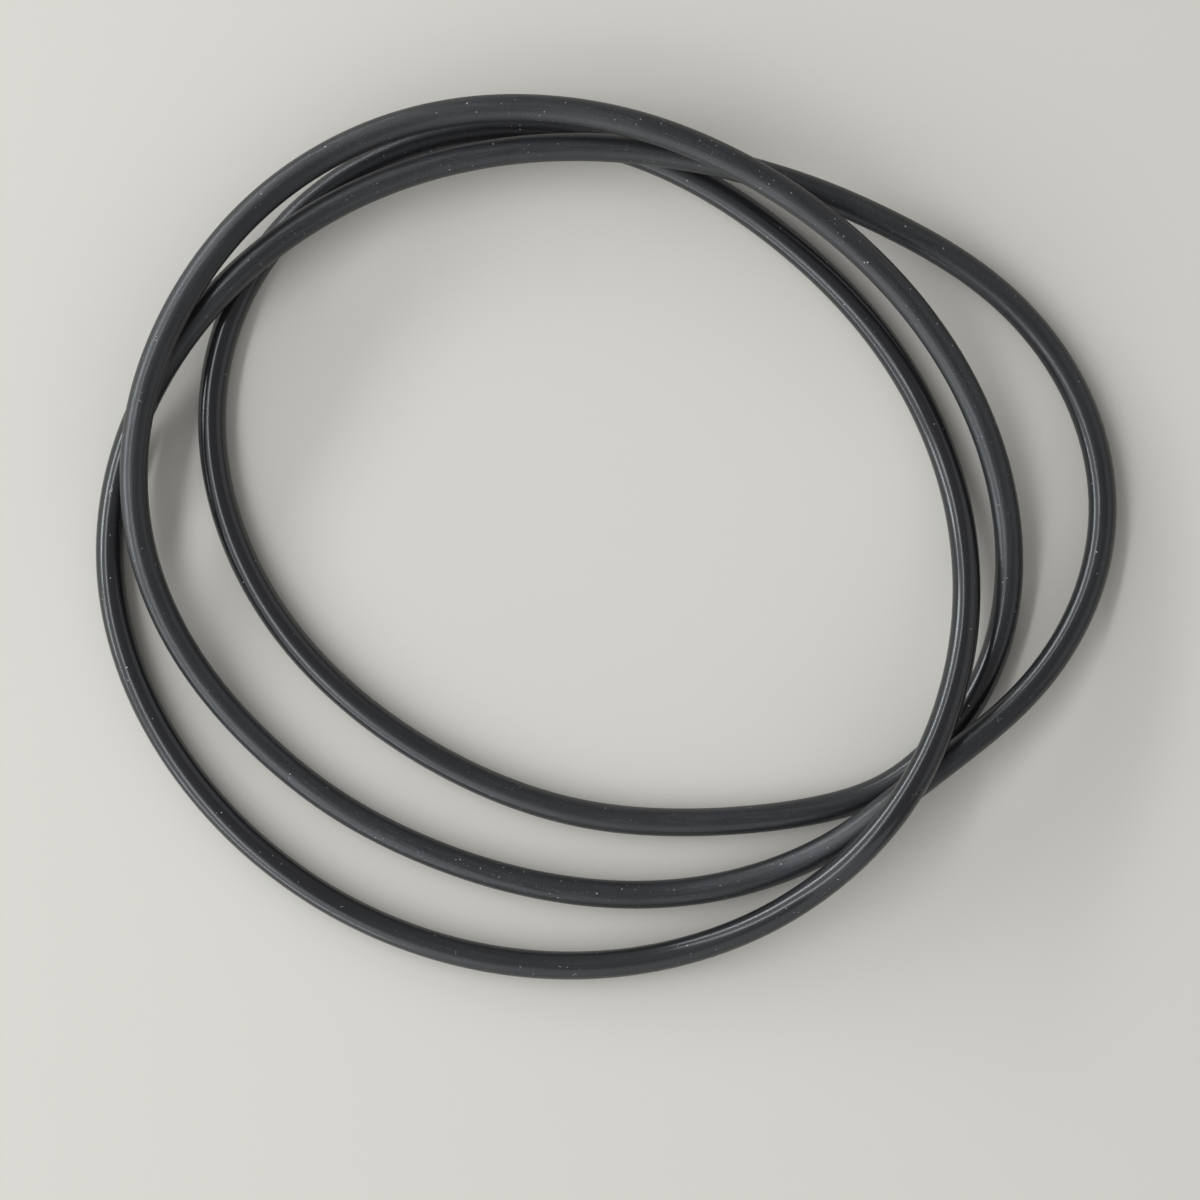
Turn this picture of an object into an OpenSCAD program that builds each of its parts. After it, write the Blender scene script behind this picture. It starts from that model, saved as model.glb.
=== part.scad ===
// Large rubber o-ring, one moulded closed ring of round section, lying in three turns.
// Its real size is set by the inside diameter that it has when it is opened out to a
// circle and by the thickness of its section. The turns lie on a flat surface at z = 0
// and climb over each other where they cross.

/* [Ring] */
// Inside diameter of the ring when it is opened out to one circle
inner_d = 456; // [400:0.5:600]
// Thickness of the round section
section_d = 5.33; // [3:0.01:6]

/* [Lay] */
// Clear height left between two turns where one crosses over the other
turn_gap = 0.15; // [0.05:0.05:1]

/* [Detail] */
// Number of flats round the section
section_sides = 16; // [12:4:16]
// Number of section rings along each turn
turn_rings = 120; // [90:10:120]

/* [Hidden] */
rubber_black = "#2b2d2f";
turns = 3;
full_turn = 360;
rings = turns * turn_rings;

// Plan of the lay, as [turn angle, radius in mm] about a point inside the coil.
// The turn angle runs counter-clockwise from the right-hand side and goes on through
// all three turns. The points are closer together where the turns meet, lower right.
plan = [
    // First turn: over the top of the coil, then the middle strand at the bottom
    [0, 83.5], [30, 79.5], [60, 78.5], [90, 84], [120, 91.5], [150, 93.5],
    [180, 89.5], [210, 78], [225, 73.5], [240, 70.5], [270, 70.5], [300, 76],
    [310, 78], [320, 80], [330, 84.5], [340, 91.5],
    // Second turn: the outermost strand right, left and at the bottom
    [360, 102], [390, 96], [405, 87.5], [420, 81.5], [450, 78], [480, 82],
    [510, 89.5], [540, 96], [570, 93], [600, 88], [630, 85], [660, 83], [690, 79],
    // Third turn: the innermost strand
    [720, 74.5], [750, 71], [780, 72], [810, 80], [840, 87], [870, 84],
    [900, 71], [930, 58.5], [960, 53], [990, 55], [1020, 64.5], [1030, 70.5],
    [1040, 77], [1050, 81], [1060, 83.5]
];

// Height of the lay in whole strands above the surface, one value every 20 degrees
level_step = 20;
levels = [
    0.4, 0.9, 1.5, 2.05, 2.05, 1.65, 1.4, 1.7, 1.7, 0.9, 0.3, 0, 0, 0, 0, 0.2, 1.1, 0.85,
    0.15, 0, 0.3, 1, 1, 1, 1, 1.05, 0.45, 0, 0, 0, 0, 0, 0.15, 0.95, 2.2, 1.5,
    0.4, 0, 0, 0, 0, 0, 0, 0, 0, 0, 0, 0, 0, 0, 0, 0, 0, 0
];

// Value at u, from 0 to 1, of the cubic from a to b over a span, with end slopes sa and sb
function cubic(a, b, sa, sb, span, u) =
    a * (1 + 2 * u) * pow(1 - u, 2) + sa * span * u * pow(1 - u, 2)
    + b * u * u * (3 - 2 * u) - sb * span * u * u * (1 - u);

// Plan spans and the mean slope over each, with the last point leading back to the first
plan_n = len(plan);
spans = [for (i = [0:plan_n - 1]) i < plan_n - 1 ? plan[i + 1][0] - plan[i][0] : turns * full_turn - plan[i][0]];
rises = [for (i = [0:plan_n - 1]) (plan[(i + 1) % plan_n][1] - plan[i][1]) / spans[i]];

// Slopes at the plan points, relaxed until the curvature runs through each point unbroken
relax_passes = 24;
function relaxed(slopes, passes) =
    passes == 0 ? slopes : relaxed([for (i = [0:plan_n - 1])
        let (h = (i + plan_n - 1) % plan_n, j = (i + 1) % plan_n, before = spans[h], after = spans[i])
        (3 * (after * rises[h] + before * rises[i]) - after * slopes[h] - before * slopes[j])
        / (2 * (before + after))], passes - 1);
plan_slopes = relaxed(rises, relax_passes);

// Radius of the lay at a turn angle
function plan_index(angle, i = 0) =
    i == plan_n - 1 || plan[i + 1][0] > angle ? i : plan_index(angle, i + 1);
function lay_radius(angle) =
    let (i = plan_index(angle), j = (i + 1) % plan_n)
    cubic(plan[i][1], plan[j][1], plan_slopes[i], plan_slopes[j], spans[i], (angle - plan[i][0]) / spans[i]);

// Level slopes that never let the height swing past its points, so nothing sinks
level_n = len(levels);
function level_rise(i) = levels[(i + 1) % level_n] - levels[i % level_n];
function level_slope(i) =
    let (before = level_rise(i + level_n - 1), after = level_rise(i))
    before * after <= 0 ? 0 : 2 * before * after / (before + after);
function lay_level(angle) =
    let (i = floor(angle / level_step), j = (i + 1) % level_n)
    cubic(levels[i], levels[j], level_slope(i), level_slope(j), 1, angle / level_step - i);

// Centre line of the lay before it is brought to the ring's length
lay_angles = [for (k = [0:rings - 1]) k * turns * full_turn / rings];
lay_plan = [for (a = lay_angles) lay_radius(a) * [cos(a), sin(a)]];
lay_lift = [for (a = lay_angles) lay_level(a) * (section_d + turn_gap)];

// Scale of the plan at which the centre line, with its climbs, is as long as the open circle's
function line_length(points) =
    let (n = len(points), steps = [for (i = [0:n - 1]) norm(points[(i + 1) % n] - points[i])])
    steps * [for (s = steps) 1];
ring_length = PI * (inner_d + section_d);
plan_length = line_length(lay_plan);
flat_scale = ring_length / plan_length;
climbed = [for (i = [0:rings - 1]) [lay_plan[i][0] * flat_scale, lay_plan[i][1] * flat_scale, lay_lift[i]]];
climb_length = line_length(climbed) - ring_length;
plan_scale = (ring_length - climb_length) / plan_length;

// Centre line, with the middle of the coil's box over the origin
function middle(values) = (max(values) + min(values)) / 2;
plan_middle = [middle([for (p = lay_plan) p[0]]), middle([for (p = lay_plan) p[1]])];
centre_line = [for (i = [0:rings - 1])
    let (p = (lay_plan[i] - plan_middle) * plan_scale)
    [p[0], p[1], section_d / 2 + lay_lift[i]]];

// Points of one section ring, square to the centre line, with one point straight below it
function unit(v) = v / norm(v);
function section_ring(i) =
    let (
        along = unit(centre_line[(i + 1) % rings] - centre_line[(i + rings - 1) % rings]),
        side = unit(cross([0, 0, 1], along)),
        above = cross(along, side)
    )
    [for (k = [0:section_sides - 1])
        let (a = k * full_turn / section_sides - 90)
        centre_line[i] + section_d / 2 * (cos(a) * side + sin(a) * above)];

// Number of point k on section ring i, both counted round and round
function at(i, k) = (i % rings) * section_sides + k % section_sides;

module o_ring() {
    skin_points = [for (i = [0:rings - 1]) each section_ring(i)];
    skin_faces = [for (i = [0:rings - 1], k = [0:section_sides - 1])
        each [[at(i, k), at(i, k + 1), at(i + 1, k + 1)], [at(i, k), at(i + 1, k + 1), at(i + 1, k)]]];
    color(rubber_black)
        polyhedron(points = skin_points, faces = skin_faces, convexity = 8);
}

o_ring();
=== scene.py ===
"""A large moulded rubber o-ring lying in three turns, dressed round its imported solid."""

import math

import bpy
from mathutils import Matrix, Vector


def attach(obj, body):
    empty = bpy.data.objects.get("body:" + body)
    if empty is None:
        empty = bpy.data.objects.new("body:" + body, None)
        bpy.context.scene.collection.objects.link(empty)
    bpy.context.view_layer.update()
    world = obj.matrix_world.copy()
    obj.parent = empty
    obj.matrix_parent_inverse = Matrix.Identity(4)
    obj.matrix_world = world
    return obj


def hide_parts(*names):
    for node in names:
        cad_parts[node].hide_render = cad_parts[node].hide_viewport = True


bl_info = {
    "name": "Coiled O-Ring",
    "version": (1, 0, 0),
    "blender": (4, 5, 0),
    "location": "3D View > Sidebar > O-Ring",
    "description": "Lays one moulded rubber o-ring in three turns, and lights it on a pale floor",
    "category": "Add Mesh",
}

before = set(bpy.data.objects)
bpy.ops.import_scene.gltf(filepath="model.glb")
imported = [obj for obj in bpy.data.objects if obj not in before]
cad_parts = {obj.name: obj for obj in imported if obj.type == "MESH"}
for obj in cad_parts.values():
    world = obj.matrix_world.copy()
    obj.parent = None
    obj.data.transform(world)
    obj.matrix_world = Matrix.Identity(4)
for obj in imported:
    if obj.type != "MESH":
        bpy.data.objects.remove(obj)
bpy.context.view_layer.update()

MM = 0.001
TURNS = 3
FULL_TURN = 360
ALL_TURNS = TURNS * FULL_TURN

# Plan of the lay, as (turn angle in degrees, radius in mm) about a point inside the coil, and its
# height in whole strands, one value every 20 degrees. Both are the same as the solid's.
PLAN = [
    # First turn: over the top of the coil, then the middle strand at the bottom
    (0, 83.5), (30, 79.5), (60, 78.5), (90, 84), (120, 91.5), (150, 93.5),
    (180, 89.5), (210, 78), (225, 73.5), (240, 70.5), (270, 70.5), (300, 76),
    (310, 78), (320, 80), (330, 84.5), (340, 91.5),
    # Second turn: the outermost strand right, left and at the bottom
    (360, 102), (390, 96), (405, 87.5), (420, 81.5), (450, 78), (480, 82),
    (510, 89.5), (540, 96), (570, 93), (600, 88), (630, 85), (660, 83), (690, 79),
    # Third turn: the innermost strand
    (720, 74.5), (750, 71), (780, 72), (810, 80), (840, 87), (870, 84),
    (900, 71), (930, 58.5), (960, 53), (990, 55), (1020, 64.5), (1030, 70.5),
    (1040, 77), (1050, 81), (1060, 83.5),
]
LEVEL_STEP = 20
LEVELS = [
    0.4, 0.9, 1.5, 2.05, 2.05, 1.65, 1.4, 1.7, 1.7, 0.9, 0.3, 0, 0, 0, 0, 0.2, 1.1, 0.85,
    0.15, 0, 0.3, 1, 1, 1, 1, 1.05, 0.45, 0, 0, 0, 0, 0, 0.15, 0.95, 2.2, 1.5,
    0.4, 0, 0, 0, 0, 0, 0, 0, 0, 0, 0, 0, 0, 0, 0, 0, 0, 0,
]
# Rounds in which the plan's slopes settle
RELAX_PASSES = 24

# The ring was moulded flat, so laying it in three turns winds its parting lines twice round the
# section before they meet. The first angle turns them to where a bit of flash shows, on the left.
TWIST_START = 116
TWIST_WHOLE = 720

# Finish along the lay: turn angle, polish and dust. At a polish over 1 the patches leave no trace.
FINISH = [
    (0, 0.35, 0.4), (30, 0.15, 0.9), (80, 0.1, 1), (120, 0.1, 0.5), (145, 0.2, 0.4),
    (160, 0.35, 0.4), (185, 0.45, 0.3), (205, 0.25, 0.3), (240, 0.1, 0.7), (270, 0.1, 1),
    (310, 0.05, 1), (330, 0.3, 0.3), (345, 0.8, 0.2), (366, 0.8, 0.3), (378, 0.4, 0.3),
    (400, 0.15, 0.3), (440, 0.1, 0.8), (495, 0.3, 0.6), (515, 0.45, 0.3), (530, 1, 0.3),
    (590, 0.9, 0.3), (612, 0.3, 0.4), (640, 0.7, 0.4), (660, 1.1, 0.3), (770, 1.1, 0.4),
    (790, 0.6, 0.3), (850, 0.3, 0.3), (868, 1.1, 0.2), (915, 1.1, 0.2), (945, 0.6, 0.3),
    (1000, 0.1, 0.3), (1040, 0.4, 0.3), (1058, 1, 0.3),
]

# Slivers of flash left on the skin: turn angle, degrees outward of up, heading from along the
# ring in degrees, and length in mm
SLIVERS = [
    (534, 15, 7, 2.2), (534.2, 13, -9, 1.9), (626, 0, 10, 0.8), (627.9, 36, 40, 0.9),
    (628.2, 33, -35, 0.8), (161.8, 4, 75, 0.6), (162.8, 1, 80, 1), (336, -4, 60, 1),
    (596, -6, 50, 0.9), (612, 0, 110, 0.8), (668, -20, 40, 0.6), (876, -52, 90, 1),
]
# A sliver 1 mm long, point by point: its place along, across and above the skin in mm, and its
# share of the full thickness. A longer one is wider in the same measure, and no thicker.
SLIVER_FORM = [
    ((-0.5, 0, 0), 0.3), ((-0.2, 0.09, 0.05), 1), ((0.2, -0.05, 0.06), 0.8), ((0.5, 0.06, 0), 0.2),
]

# Points of a circle and of a line as they are added, and how near each other, in metres, points
# of the skin are made one
CIRCLE_POINTS = 4
LINE_POINTS = 2
MERGE_DISTANCE = 0.00001

# Numbers of a Mix node's colour sockets, whose names belong to its other sockets too
COLOUR_A, COLOUR_B, COLOUR_RESULT = 6, 7, 2

# IOR of nitrile rubber, and how far the streaks change the roughness of its satin skin
RUBBER_IOR = 1.52
SATIN_SPREAD = 0.08

# Patterns of the rubber, in mm: lines as how far apart and how long, the others as how wide
FLOW_LINES = (1.4, 120)
STREAKS = (0.3, 9)
FILM_PATCH = 12
SKIN_GRAIN = 0.4
SPECK_CELL = 0.8
FLASH_DUST = 0.3

# Relief of the skin in mm, and the share of its finer part that is left where it is clean
GRAIN_HEIGHT = 0.03
STREAK_HEIGHT = 0.015
FLOW_HEIGHT = 0.012
GROOVE_DEPTH = 0.012
CLEAN_RELIEF = 0.02

# Width of the floor in metres, where the picture's middle falls on it, and the height of a lying
# strand's middle
FLOOR_WIDTH = 6
PICTURE_CENTRE = (-0.00113, -0.01142)
STRAND_MIDDLE = 0.00267

# Lamps: name, direction in degrees as the wall's from +X and the lamp's from straight up, slide
# along the wall to the front, length, height, and the setting of their power. Slide, length and
# height are in wall distances.
LAMPS = [
    ("soft_wall", 190, 58, 0, 4, 1.5, "wall_power"),
    ("soft_front", 262, 62, 0, 1.8, 1.1, "fill_power"),
    ("soft_right", 10, 58, 0, 1.6, 0.8, "right_power"),
    ("high_strip", 167, 33, 0.4, 3.2, 0.2, "high_power"),
    ("low_strip", 155, 70, 0, 1.9, 0.15, "low_power"),
    ("front_strip", 218, 85, 0, 1.2, 0.11, "front_power"),
]


def linear(hex_colour):
    """Linear RGBA of an sRGB hex colour."""
    channels = [int(hex_colour[i:i + 2], 16) / 255 for i in (1, 3, 5)]
    return [c / 12.92 if c <= 0.04045 else ((c + 0.055) / 1.055) ** 2.4 for c in channels] + [1.0]


def add_node(tree, kind, values=None, **settings):
    """Adds a shader node with its settings.

    The value for a socket is a number or a colour, or what is linked to it: another socket, or a
    node, whose first output it is then.
    """
    node = tree.nodes.new("ShaderNode" + kind)
    for name, setting in settings.items():
        setattr(node, name, setting)
    for socket, value in (values or {}).items():
        if isinstance(value, bpy.types.Node):
            value = value.outputs[0]
        if isinstance(value, bpy.types.NodeSocket):
            tree.links.new(value, node.inputs[socket])
        else:
            node.inputs[socket].default_value = value
    return node


def new_material(name):
    """A material with an empty node tree."""
    material = bpy.data.materials.new(name)
    material.use_nodes = True
    material.node_tree.nodes.clear()
    return material


def cubic(a, b, slope_a, slope_b, span, u):
    """Value at u, from 0 to 1, of the cubic from a to b over a span."""
    return (a * (1 + 2 * u) * (1 - u) ** 2 + slope_a * span * u * (1 - u) ** 2
            + b * u * u * (3 - 2 * u) - slope_b * span * u * u * (1 - u))


def closed_slopes(points, whole):
    """Spans and slopes of a closed curve through the points, smooth in its curvature too."""
    n = len(points)
    spans = [points[i + 1][0] - points[i][0] for i in range(n - 1)]
    spans.append(whole - points[-1][0])
    rises = [(points[(i + 1) % n][1] - points[i][1]) / spans[i] for i in range(n)]
    slopes = rises
    for _ in range(RELAX_PASSES):
        slopes = [(3 * (spans[i] * rises[i - 1] + spans[i - 1] * rises[i])
                   - spans[i] * slopes[i - 1] - spans[i - 1] * slopes[(i + 1) % n])
                  / (2 * (spans[i - 1] + spans[i])) for i in range(n)]
    return spans, slopes


PLAN_SPANS, PLAN_SLOPES = closed_slopes(PLAN, ALL_TURNS)


def lay_radius(angle):
    """Radius of the lay in mm at a turn angle, before it is brought to length."""
    i = max(k for k in range(len(PLAN)) if PLAN[k][0] <= angle)
    j = (i + 1) % len(PLAN)
    u = (angle - PLAN[i][0]) / PLAN_SPANS[i]
    return cubic(PLAN[i][1], PLAN[j][1], PLAN_SLOPES[i], PLAN_SLOPES[j], PLAN_SPANS[i], u)


def level_slope(i):
    """Slope at a level that never lets the height swing past its points."""
    before = LEVELS[i] - LEVELS[i - 1]
    after = LEVELS[(i + 1) % len(LEVELS)] - LEVELS[i]
    return 0 if before * after <= 0 else 2 * before * after / (before + after)


def lay_level(angle):
    """Height of the lay at a turn angle, in whole strands."""
    i = int(angle // LEVEL_STEP)
    j = (i + 1) % len(LEVELS)
    return cubic(LEVELS[i], LEVELS[j], level_slope(i), level_slope(j), 1, angle / LEVEL_STEP - i)


def line_length(points):
    """Length of a closed line."""
    return sum((points[i] - points[i - 1]).length for i in range(len(points)))


def lay_points(sizes, angles):
    """Plan of the lay and its lift above the surface, in metres, before it is brought to length."""
    strand = sizes.section_d + sizes.turn_gap
    flat = [lay_radius(a) * MM * Vector((math.cos(math.radians(a)), math.sin(math.radians(a)), 0))
            for a in angles]
    return flat, [Vector((0, 0, lay_level(a) * strand)) for a in angles]


def centre_line(sizes, angles=None):
    """Centre line of the laid ring in metres, at the turn angles or at every section ring.

    With its climbs it is as long as that of the open ring.
    """
    flat, lift = lay_points(sizes, [ALL_TURNS * k / sizes.rings for k in range(sizes.rings)])
    length = math.pi * (sizes.inner_d + sizes.section_d)
    flat_length = line_length(flat)
    climbed = line_length([p * (length / flat_length) + h for p, h in zip(flat, lift)])
    scale = (2 * length - climbed) / flat_length
    low = Vector((min(p.x for p in flat), min(p.y for p in flat), 0))
    high = Vector((max(p.x for p in flat), max(p.y for p in flat), 0))
    base = Vector((0, 0, sizes.section_d / 2))
    if angles:
        flat, lift = lay_points(sizes, angles)
    return [(p - (low + high) / 2) * scale + h + base for p, h in zip(flat, lift)]


def twist_at(angle):
    """Turn of the section at a turn angle, in degrees."""
    return TWIST_START + TWIST_WHOLE * angle / ALL_TURNS


def finish_at(angle):
    """Polish and dust at a turn angle, eased from one stated place to the next."""
    knots = FINISH + [(ALL_TURNS, *FINISH[0][1:])]
    i = max(k for k in range(len(FINISH)) if knots[k][0] <= angle)
    u = (angle - knots[i][0]) / (knots[i + 1][0] - knots[i][0])
    u = u * u * (3 - 2 * u)
    return [a + (b - a) * u for a, b in zip(knots[i][1:], knots[i + 1][1:])]


class RingSizes(bpy.types.PropertyGroup):
    """Sizes of the moulded ring and of its lay"""

    inner_d: bpy.props.FloatProperty(
        name="Inside Diameter", description="Inside diameter of the ring opened out to a circle",
        default=0.456, unit="LENGTH")
    section_d: bpy.props.FloatProperty(
        name="Section", description="Thickness of the round section",
        default=0.00533, unit="LENGTH")
    turn_gap: bpy.props.FloatProperty(
        name="Turn Gap", description="Height left clear between turns that cross",
        default=0.00015, unit="LENGTH")
    flash_width: bpy.props.FloatProperty(
        name="Flash Width", description="Width of the line left where the mould parts",
        default=0.0003, unit="LENGTH")
    flash_height: bpy.props.FloatProperty(
        name="Flash Height", description="How far the parting line stands out of the section",
        default=0.000012, unit="LENGTH")
    skin_inset: bpy.props.FloatProperty(
        name="Skin Inset", description="How far the skin lies inside the section's full size",
        default=0.00003, unit="LENGTH")
    sliver_thickness: bpy.props.FloatProperty(
        name="Sliver Thickness", description="Thickness of the slivers of flash left on the skin",
        default=0.00008, unit="LENGTH")
    rings: bpy.props.IntProperty(
        name="Rings", description="Section rings along the whole lay", default=720, min=360)
    sides: bpy.props.IntProperty(
        name="Sides", description="Points round one section", default=64, min=32)


class RubberLook(bpy.types.PropertyGroup):
    """Colours and finish of the rubber"""

    body_colour: bpy.props.StringProperty(
        name="Body Colour", description="Clean rubber, sRGB hex", default="#1d1d1f")
    film_colour: bpy.props.StringProperty(
        name="Film Colour", description="Rubber under a film of bloom and dust, sRGB hex",
        default="#4b4f56")
    dust_colour: bpy.props.StringProperty(
        name="Dust Colour", description="Specks of dust, sRGB hex", default="#b2b6b6")
    satin: bpy.props.FloatProperty(
        name="Satin Roughness", description="Roughness of the moulded skin under its film",
        default=0.41, min=0, max=1, subtype="FACTOR")
    gloss: bpy.props.FloatProperty(
        name="Gloss Roughness", description="Roughness where the skin is rubbed clean",
        default=0.19, min=0, max=1, subtype="FACTOR")


class StageLook(bpy.types.PropertyGroup):
    """Floor, lamps and camera"""

    floor_colour: bpy.props.StringProperty(
        name="Floor Colour", description="Plain pale floor, sRGB hex", default="#cac5bd")
    lamp_colour: bpy.props.StringProperty(
        name="Lamp Colour", description="Soft daylight of the lamps, sRGB hex", default="#f4fafe")
    wall_distance: bpy.props.FloatProperty(
        name="Wall Distance", description="Distance of the walls of lamps from the ring",
        default=1.2, unit="LENGTH")
    wall_power: bpy.props.FloatProperty(
        name="Wall Power", description="Wide soft wall of light on the left",
        default=24, unit="POWER")
    fill_power: bpy.props.FloatProperty(
        name="Fill Power", description="Soft light from the front", default=6, unit="POWER")
    right_power: bpy.props.FloatProperty(
        name="Right Power", description="Weak soft light from the right",
        default=2.6, unit="POWER")
    high_power: bpy.props.FloatProperty(
        name="High Strip Power", description="Long strip high on the left",
        default=21.5, unit="POWER")
    low_power: bpy.props.FloatProperty(
        name="Low Strip Power", description="Long strip low on the left",
        default=15, unit="POWER")
    front_power: bpy.props.FloatProperty(
        name="Front Strip Power", description="Strip low on the left, to the front",
        default=3.5, unit="POWER")
    room_light: bpy.props.FloatProperty(
        name="Room Light", description="Even light from all round", default=0.3, min=0)
    camera_height: bpy.props.FloatProperty(
        name="Camera Height", description="Height of the lens over the lying strands",
        default=0.9, unit="LENGTH")
    picture_width: bpy.props.FloatProperty(
        name="Picture Width", description="Width that the picture takes in, at the strands",
        default=0.2255, unit="LENGTH")


def section_profile(sizes):
    """Points of the section, closer together at the two parting lines, left and right."""
    crowding = 0.7
    base = sizes.section_d / 2 - sizes.skin_inset
    points = []
    for k in range(sizes.sides):
        even = 2 * math.pi * k / sizes.sides
        angle = even - crowding / 2 * math.sin(2 * even)
        off_line = base * abs(math.remainder(angle, math.pi))
        ridge = sizes.flash_height * math.exp(-(off_line / (sizes.flash_width / 2)) ** 2)
        points.append(((base + ridge) * math.cos(angle), (base + ridge) * math.sin(angle)))
    return points


def poly_circle(name, points_count):
    """A curve object of one closed line, cut from a circle into so many points."""
    bpy.ops.object.select_all(action="DESELECT")
    bpy.ops.curve.primitive_bezier_circle_add(radius=1, enter_editmode=True)
    bpy.ops.curve.select_all(action="SELECT")
    bpy.ops.curve.subdivide(number_cuts=points_count // CIRCLE_POINTS - 1)
    bpy.ops.curve.spline_type_set(type="POLY")
    bpy.ops.object.editmode_toggle()
    curve = bpy.context.object
    curve.name = name
    made = len(curve.data.splines[0].points)
    if made != points_count:
        raise RuntimeError(f"{name}: {made} points and not {points_count}")
    return curve


class OBJECT_OT_lay_o_ring(bpy.types.Operator):
    """Lays the moulded rubber ring in its three turns"""

    bl_idname = "object.lay_o_ring"
    bl_label = "Lay O-Ring"

    def execute(self, context):
        """Draws the section and the route as curves, and makes one closed skin of them."""
        sizes = context.scene.ring_sizes
        section = poly_circle("ring_section", sizes.sides)
        for point, (x, y) in zip(section.data.splines[0].points, section_profile(sizes)):
            point.co = (x, y, 0, 1)

        route = poly_circle("o_ring_rubber", sizes.rings)
        angles = [ALL_TURNS * k / sizes.rings for k in range(sizes.rings)]
        for point, place, angle in zip(route.data.splines[0].points, centre_line(sizes), angles):
            point.co = (*place, 1)
            point.tilt = math.radians(twist_at(angle))
        route.data.twist_mode = "Z_UP"
        route.data.bevel_mode = "OBJECT"
        route.data.bevel_object = section
        bpy.ops.object.select_all(action="DESELECT")
        route.select_set(True)
        context.view_layer.objects.active = route
        bpy.ops.object.convert(target="MESH")
        ring = context.object
        bpy.data.objects.remove(section)
        bpy.ops.object.editmode_toggle()
        bpy.ops.mesh.select_all(action="SELECT")
        bpy.ops.mesh.remove_doubles(threshold=MERGE_DISTANCE)
        bpy.ops.mesh.normals_make_consistent(inside=False)
        bpy.ops.object.editmode_toggle()
        bpy.ops.object.shade_smooth()

        mark_places(ring, sizes)
        ring.data.materials.clear()
        ring.data.materials.append(moulded_rubber(context.scene.rubber_look))
        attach(ring, "root")
        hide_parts("o_ring")
        return {"FINISHED"}


def skin_frame(sizes, angle, outward):
    """Place on the skin at a turn angle and degrees outward of up, with the skin's axes there."""
    step = 0.5
    before, here, after = centre_line(sizes, [angle - step, angle, angle + step])
    along = (after - before).normalized()
    side = Vector((along.y, -along.x, 0)).normalized()
    above = side.cross(along)
    turn = math.radians(outward)
    normal = math.sin(turn) * side + math.cos(turn) * above
    across = normal.cross(along)
    skin = sizes.section_d / 2 - sizes.skin_inset
    return here + skin * normal, Matrix((along, across, normal)).transposed()


class OBJECT_OT_leave_flash(bpy.types.Operator):
    """Leaves the slivers of flash on the skin of the ring"""

    bl_idname = "object.leave_flash"
    bl_label = "Leave Flash"

    def execute(self, context):
        """Bends one sliver from a curve, and copies it to each place."""
        sizes = context.scene.ring_sizes
        bpy.ops.object.select_all(action="DESELECT")
        bpy.ops.curve.primitive_bezier_curve_add(radius=0.5, enter_editmode=True)
        bpy.ops.curve.subdivide(number_cuts=len(SLIVER_FORM) - LINE_POINTS)
        bpy.ops.object.editmode_toggle()
        sliver = context.object
        sliver.name = "flash_slivers"
        points = sliver.data.splines[0].bezier_points
        if len(points) != len(SLIVER_FORM):
            raise RuntimeError(f"the sliver has {len(points)} points and not {len(SLIVER_FORM)}")
        for point, (place, thickness) in zip(points, SLIVER_FORM):
            point.handle_left_type = point.handle_right_type = "AUTO"
            point.co = place
            point.radius = thickness
        sliver.data.bevel_depth = sizes.sliver_thickness / 2 / MM
        sliver.data.bevel_resolution = 2
        sliver.data.resolution_u = 6
        sliver.data.use_fill_caps = True
        bpy.ops.object.convert(target="MESH")
        bpy.ops.object.shade_smooth()

        copies = [sliver]
        for _ in SLIVERS[1:]:
            bpy.ops.object.select_all(action="DESELECT")
            sliver.select_set(True)
            context.view_layer.objects.active = sliver
            bpy.ops.object.duplicate(linked=False)
            copies.append(context.object)
        for copy, (angle, outward, heading, length) in zip(copies, SLIVERS):
            place, axes = skin_frame(sizes, angle, outward)
            copy.matrix_world = (Matrix.Translation(place) @ axes.to_4x4()
                                 @ Matrix.Rotation(math.radians(heading), 4, "Z")
                                 @ Matrix.Diagonal((length * MM, length * MM, MM, 1)))
        bpy.ops.object.select_all(action="DESELECT")
        for copy in copies:
            copy.select_set(True)
        context.view_layer.objects.active = sliver
        bpy.ops.object.join()
        bpy.ops.object.transform_apply(location=True, rotation=True, scale=True)

        sliver.data.materials.clear()
        sliver.data.materials.append(torn_flash(context.scene.rubber_look))
        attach(sliver, "root")
        return {"FINISHED"}


def mark_places(ring, sizes):
    """Gives each point its place on the section and on the open ring, in mm, and its finish.

    The finish is its polish, its dust and how far it faces up.
    """
    profile = section_profile(sizes)
    radius = (sizes.inner_d + sizes.section_d) / 2
    section_place, open_place, finish = [], [], []
    for i in range(sizes.rings):
        polish, dust = finish_at(ALL_TURNS * i / sizes.rings)
        along = 2 * math.pi * i / sizes.rings
        for k, (x, y) in enumerate(profile):
            out = (radius + x) / MM
            section_place += [x / MM, y / MM, 0]
            open_place += [out * math.cos(along), out * math.sin(along), y / MM]
            finish += [polish, dust, ring.data.vertices[i * sizes.sides + k].normal.z]
    marks = {"section_place": section_place, "open_place": open_place, "finish": finish}
    for name, values in marks.items():
        attribute = ring.data.attributes.new(name, "FLOAT_VECTOR", "POINT")
        attribute.data.foreach_set("vector", values)


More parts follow.
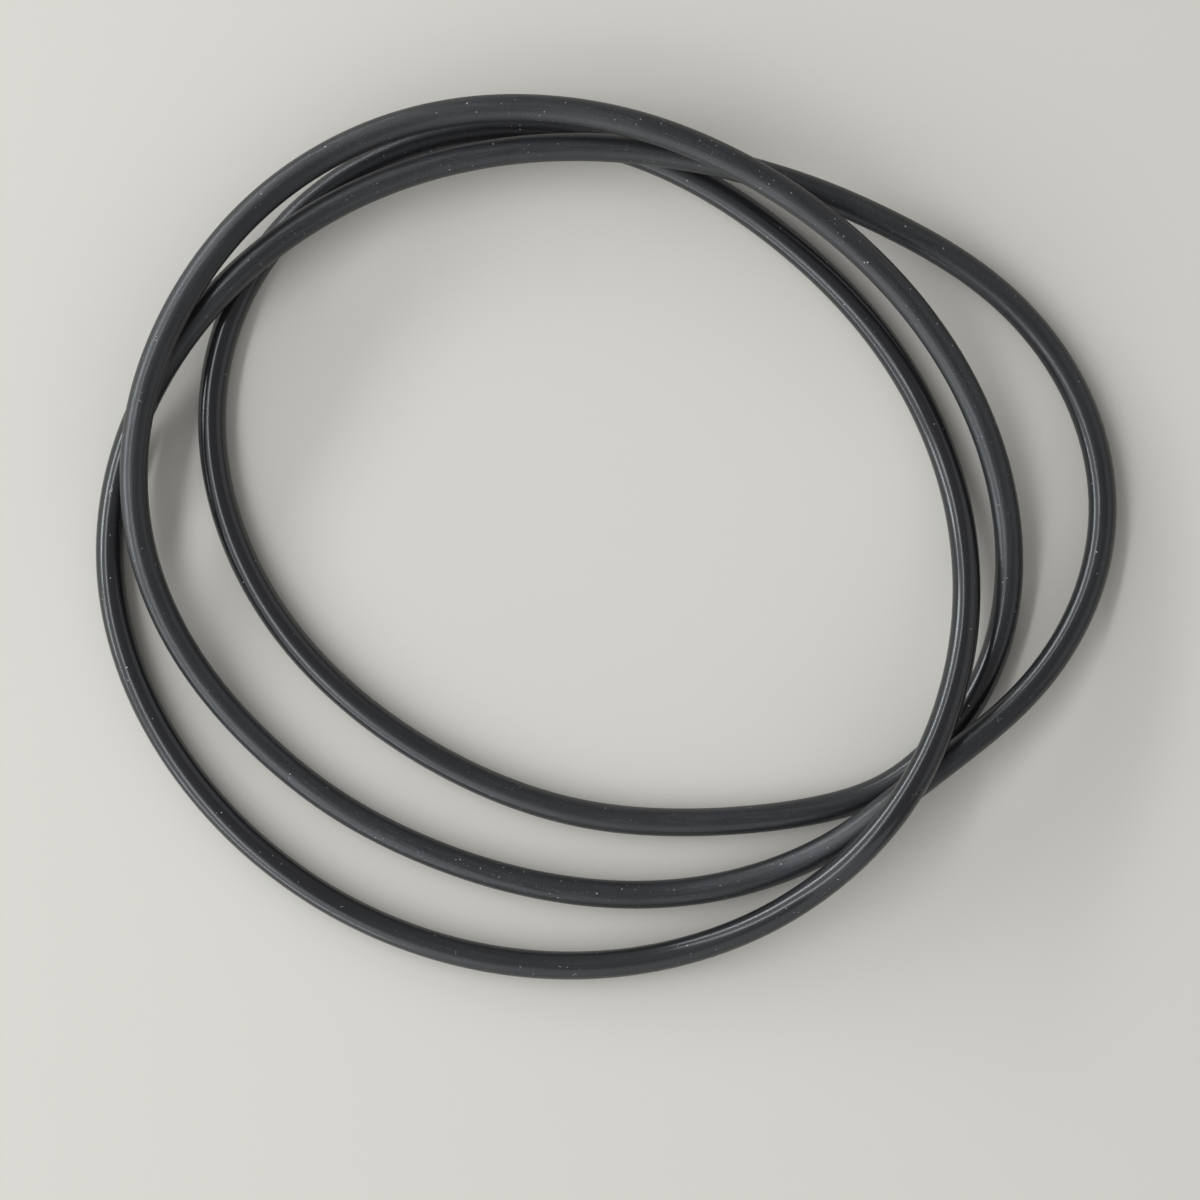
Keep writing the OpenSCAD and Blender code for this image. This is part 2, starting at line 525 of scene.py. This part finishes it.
def torn_flash(look):
    """Flash of the same nitrile rubber, torn off in slivers under a tenth of a millimetre thick.

    Dust clings to them, so they are dull and paler than the skin.
    """
    material = new_material("nitrile_rubber_flash")
    tree = material.node_tree
    place = add_node(tree, "TexCoord").outputs["Object"]
    dust = add_node(tree, "TexNoise", {
        "Vector": place, "Scale": 1 / (FLASH_DUST * MM), "Detail": 2})
    colour = add_node(tree, "Mix", {
        "Factor": dust, COLOUR_A: linear(look.film_colour),
        COLOUR_B: linear(look.dust_colour)}, data_type="RGBA").outputs[COLOUR_RESULT]
    shader = add_node(tree, "BsdfPrincipled", {
        "Base Color": colour, "Roughness": 0.5, "IOR": RUBBER_IOR})
    add_node(tree, "OutputMaterial", {"Surface": shader})
    return material


def moulded_rubber(look):
    """Nitrile rubber, compression moulded in two halves: near black and faintly blue.

    The skin takes the mould's fine grain, so it is satin, with lines along the ring where the
    rubber flowed and where the flash was torn off. A film of bloom and dust greys it and spreads
    its highlights; along the grooves the film is thinned, which is painted shade. Where hands
    have rubbed the film off it is darker, with sharp highlights.
    """
    material = new_material("nitrile_rubber_moulded")
    tree = material.node_tree
    section = add_node(tree, "Attribute", attribute_name="section_place").outputs["Vector"]
    opened = add_node(tree, "Attribute", attribute_name="open_place").outputs["Vector"]
    finish = add_node(tree, "Attribute", attribute_name="finish").outputs["Vector"]
    parts = add_node(tree, "SeparateXYZ", {"Vector": finish})
    polish, dusty, upward = parts.outputs["X"], parts.outputs["Y"], parts.outputs["Z"]
    place = add_node(tree, "TexCoord").outputs["Object"]
    place_mm = add_node(tree, "VectorMath", {0: place, "Scale": 1 / MM}, operation="SCALE")

    def lengthwise(apart, long, detail):
        """Lines along the ring, so many mm apart round the section and so many mm long.

        Their third and fourth coordinates go once round the open ring, so they close without a
        seam.
        """
        across = add_node(tree, "VectorMath", {0: section, "Scale": 1 / apart}, operation="SCALE")
        slow = add_node(tree, "VectorMath", {0: opened, "Scale": 1 / long}, operation="SCALE")
        slow = add_node(tree, "SeparateXYZ", {"Vector": slow})
        third = add_node(tree, "CombineXYZ", {"Z": slow.outputs["X"]})
        vector = add_node(tree, "VectorMath", {0: across, 1: third}, operation="ADD")
        return add_node(tree, "TexNoise", {
            "Vector": vector, "W": slow.outputs["Y"], "Scale": 1, "Detail": detail,
            "Roughness": 0.6}, noise_dimensions="4D")

    flow = lengthwise(*FLOW_LINES, detail=1)
    streaks = lengthwise(*STREAKS, detail=2)

    # Fine grooves where the rubber flowed together, along the middle of some of the flow lines.
    # The same mask also thins the film in them, as painted shade
    off_groove = add_node(tree, "Math", {0: flow, 1: 0.5}, operation="SUBTRACT")
    off_groove = add_node(tree, "Math", {0: off_groove}, operation="ABSOLUTE")
    groove_and_painted_shade = add_node(tree, "MapRange", {
        "Value": off_groove, "From Max": 0.03, "To Min": 1, "To Max": 0})

    # Patches of film, and a grain that is coarser than the real one, so that it shows
    patches = add_node(tree, "TexNoise", {
        "Vector": opened, "Scale": 1 / FILM_PATCH, "Detail": 4, "Roughness": 0.65})
    grain = add_node(tree, "TexNoise", {
        "Vector": place_mm, "Scale": 1 / SKIN_GRAIN, "Detail": 3, "Roughness": 0.7})

    # How clean the skin is: the stated polish, broken up by the patches and the flow lines
    ragged = add_node(tree, "Math", {0: patches, 1: flow}, operation="ADD")
    ragged = add_node(tree, "Math", {0: ragged, 1: 0.5, 2: -0.5}, operation="MULTIPLY_ADD")
    clean = add_node(tree, "Math", {0: polish, 1: ragged}, operation="ADD", use_clamp=True)
    dull = add_node(tree, "Math", {0: 1.0, 1: clean}, operation="SUBTRACT")

    # The film lies on what faces up, in patches, along the streaks and between the grain. In a
    # groove it is cut to a third: painted shade, which darkens each groove into a thin line
    faces_up = add_node(tree, "MapRange", {"Value": upward, "From Min": 0.2})
    film = add_node(tree, "Math", {0: dull, 1: faces_up}, operation="MULTIPLY")
    for pattern, low, high, least, most in (
            (patches, 0.3, 0.7, 0, 1), (streaks, 0.35, 0.75, 0.15, 1),
            (grain, 0.4, 0.7, 0.1, 1), (groove_and_painted_shade, 0, 1, 1, 0.3)):
        share = add_node(tree, "MapRange", {
            "Value": pattern, "From Min": low, "From Max": high, "To Min": least, "To Max": most})
        film = add_node(tree, "Math", {0: film, 1: share}, operation="MULTIPLY")
    skin_colour = add_node(tree, "Mix", {
        "Factor": film, COLOUR_A: linear(look.body_colour),
        COLOUR_B: linear(look.film_colour)}, data_type="RGBA").outputs[COLOUR_RESULT]

    # Specks of dust, 0.1 to 0.3 mm across and not all as pale. A cell may hold one, more often
    # where it is dusty, and none lies on what faces down.
    cells = add_node(tree, "TexVoronoi", {
        "Vector": place_mm, "Scale": 1 / SPECK_CELL, "Randomness": 1})
    chance = add_node(tree, "SeparateColor", {"Color": cells.outputs["Color"]})
    empty = add_node(tree, "MapRange", {"Value": dusty, "To Min": 0.96, "To Max": 0.35})
    held = add_node(tree, "Math", {
        0: chance.outputs["Red"], 1: empty}, operation="GREATER_THAN")
    size = add_node(tree, "Math", {0: chance.outputs["Green"], 1: 4.0}, operation="POWER")
    size = add_node(tree, "Math", {0: size, 1: 0.13, 2: 0.06}, operation="MULTIPLY_ADD")
    inside = add_node(tree, "Math", {0: size, 1: cells.outputs["Distance"]}, operation="SUBTRACT")
    inside = add_node(tree, "MapRange", {"Value": inside, "From Min": -0.03, "From Max": 0.03})
    pale = add_node(tree, "MapRange", {"Value": chance.outputs["Blue"], "To Min": 0.35})
    speck = faces_up
    for share in (inside, held, pale):
        speck = add_node(tree, "Math", {0: speck, 1: share}, operation="MULTIPLY")
    colour = add_node(tree, "Mix", {
        "Factor": speck, COLOUR_A: skin_colour,
        COLOUR_B: linear(look.dust_colour)}, data_type="RGBA").outputs[COLOUR_RESULT]

    # Relief in mm: the flow lines everywhere, the streaks, grain and grooves less where it is clean
    relief = add_node(tree, "Math", {0: streaks, 1: STREAK_HEIGHT}, operation="MULTIPLY")
    relief = add_node(tree, "Math", {
        0: grain, 1: GRAIN_HEIGHT, 2: relief}, operation="MULTIPLY_ADD")
    relief = add_node(tree, "Math", {
        0: groove_and_painted_shade, 1: -GROOVE_DEPTH, 2: relief}, operation="MULTIPLY_ADD")
    stays = add_node(tree, "MapRange", {"Value": dull, "To Min": CLEAN_RELIEF})
    relief = add_node(tree, "Math", {0: relief, 1: stays}, operation="MULTIPLY")
    relief = add_node(tree, "Math", {0: flow, 1: FLOW_HEIGHT, 2: relief}, operation="MULTIPLY_ADD")
    bump = add_node(tree, "Bump", {"Strength": 1, "Distance": MM, "Height": relief})

    # The filmed skin and the clean one, each with its own highlight
    satin = add_node(tree, "MapRange", {
        "Value": streaks, "From Min": 0.3, "From Max": 0.7,
        "To Min": look.satin - SATIN_SPREAD, "To Max": look.satin + SATIN_SPREAD})
    filmed = add_node(tree, "BsdfPrincipled", {
        "Base Color": colour, "Roughness": satin, "IOR": RUBBER_IOR, "Normal": bump})
    rubbed = add_node(tree, "BsdfPrincipled", {
        "Base Color": colour, "Roughness": look.gloss, "IOR": RUBBER_IOR, "Normal": bump})
    shows = add_node(tree, "Math", {0: clean, 1: speck}, operation="SUBTRACT", use_clamp=True)
    skin = add_node(tree, "MixShader", {0: shows, 1: filmed, 2: rubbed})
    add_node(tree, "OutputMaterial", {"Surface": skin})
    return material


def wall_lamp(look, name, azimuth, zenith, slide, length, height, power):
    """A level lamp on a wall, turned to the ring and then slid along the wall to the front."""
    azimuth, zenith = math.radians(azimuth), math.radians(zenith)
    far = look.wall_distance
    wall = Vector((math.cos(azimuth), math.sin(azimuth), 0))
    along_wall = Vector((-wall.y, wall.x, 0))
    place = far * (wall + Vector((0, 0, 1 / math.tan(zenith))))
    bpy.ops.object.light_add(type="AREA", location=place + slide * far * along_wall)
    lamp = bpy.context.object
    lamp.name = name
    lamp.data.shape = "RECTANGLE"
    lamp.data.size, lamp.data.size_y = length * far, height * far
    lamp.data.energy = getattr(look, power)
    lamp.data.color = linear(look.lamp_colour)[:3]
    lamp.rotation_euler = (-place).to_track_quat("-Z", "Y").to_euler()


class OBJECT_OT_set_o_ring_stage(bpy.types.Operator):
    """Puts the ring on a pale floor under soft lamps, with the camera straight above it"""

    bl_idname = "object.set_o_ring_stage"
    bl_label = "Set O-Ring Stage"

    def execute(self, context):
        """Makes the floor, the lamps, the world and the camera."""
        look = context.scene.stage_look
        bpy.ops.object.select_all(action="DESELECT")
        bpy.ops.mesh.primitive_plane_add(size=FLOOR_WIDTH, location=(0, 0, 0))
        floor = context.object
        floor.name = "floor"
        # Uncoated paper, matt, so it shows the shadows and no highlights
        paper = new_material("pale_paper")
        skin = add_node(paper.node_tree, "BsdfPrincipled", {
            "Base Color": linear(look.floor_colour), "Roughness": 0.9})
        add_node(paper.node_tree, "OutputMaterial", {"Surface": skin})
        floor.data.materials.append(paper)

        for lamp in LAMPS:
            wall_lamp(look, *lamp)

        world = context.scene.world or bpy.data.worlds.new("plain_room")
        context.scene.world = world
        world.use_nodes = True
        world.node_tree.nodes.clear()
        sky = add_node(world.node_tree, "Background", {
            "Color": (1, 1, 1, 1), "Strength": look.room_light})
        add_node(world.node_tree, "OutputWorld", {"Surface": sky})

        lens = (*PICTURE_CENTRE, look.camera_height + STRAND_MIDDLE)
        bpy.ops.object.camera_add(location=lens, rotation=(0, 0, 0))
        camera = context.object
        camera.name = "camera_above"
        camera.data.angle = 2 * math.atan(look.picture_width / 2 / look.camera_height)
        context.scene.camera = camera
        context.scene.view_settings.view_transform = "Standard"
        return {"FINISHED"}


class VIEW3D_PT_o_ring(bpy.types.Panel):
    """Sizes, finish and stage of the ring"""

    bl_label = "O-Ring"
    bl_idname = "VIEW3D_PT_o_ring"
    bl_space_type = "VIEW_3D"
    bl_region_type = "UI"
    bl_category = "O-Ring"

    def draw(self, context):
        """Lists the settings and the operators."""
        for group in (context.scene.ring_sizes, context.scene.rubber_look, context.scene.stage_look):
            for name in group.bl_rna.properties.keys():
                if name not in ("rna_type", "name"):
                    self.layout.prop(group, name)
        for operator in (OBJECT_OT_lay_o_ring, OBJECT_OT_leave_flash, OBJECT_OT_set_o_ring_stage):
            self.layout.operator(operator.bl_idname)


CLASSES = (RingSizes, RubberLook, StageLook, OBJECT_OT_lay_o_ring, OBJECT_OT_leave_flash,
           OBJECT_OT_set_o_ring_stage, VIEW3D_PT_o_ring)


def register():
    """Registers the classes and puts the settings on the scene."""
    for each in CLASSES:
        bpy.utils.register_class(each)
    bpy.types.Scene.ring_sizes = bpy.props.PointerProperty(type=RingSizes)
    bpy.types.Scene.rubber_look = bpy.props.PointerProperty(type=RubberLook)
    bpy.types.Scene.stage_look = bpy.props.PointerProperty(type=StageLook)


def unregister():
    """Takes the settings and the classes away again."""
    del bpy.types.Scene.stage_look
    del bpy.types.Scene.rubber_look
    del bpy.types.Scene.ring_sizes
    for each in reversed(CLASSES):
        bpy.utils.unregister_class(each)


def main():
    register()
    bpy.ops.object.lay_o_ring()
    bpy.ops.object.leave_flash()
    bpy.ops.object.set_o_ring_stage()


if __name__ == "__main__":
    main()
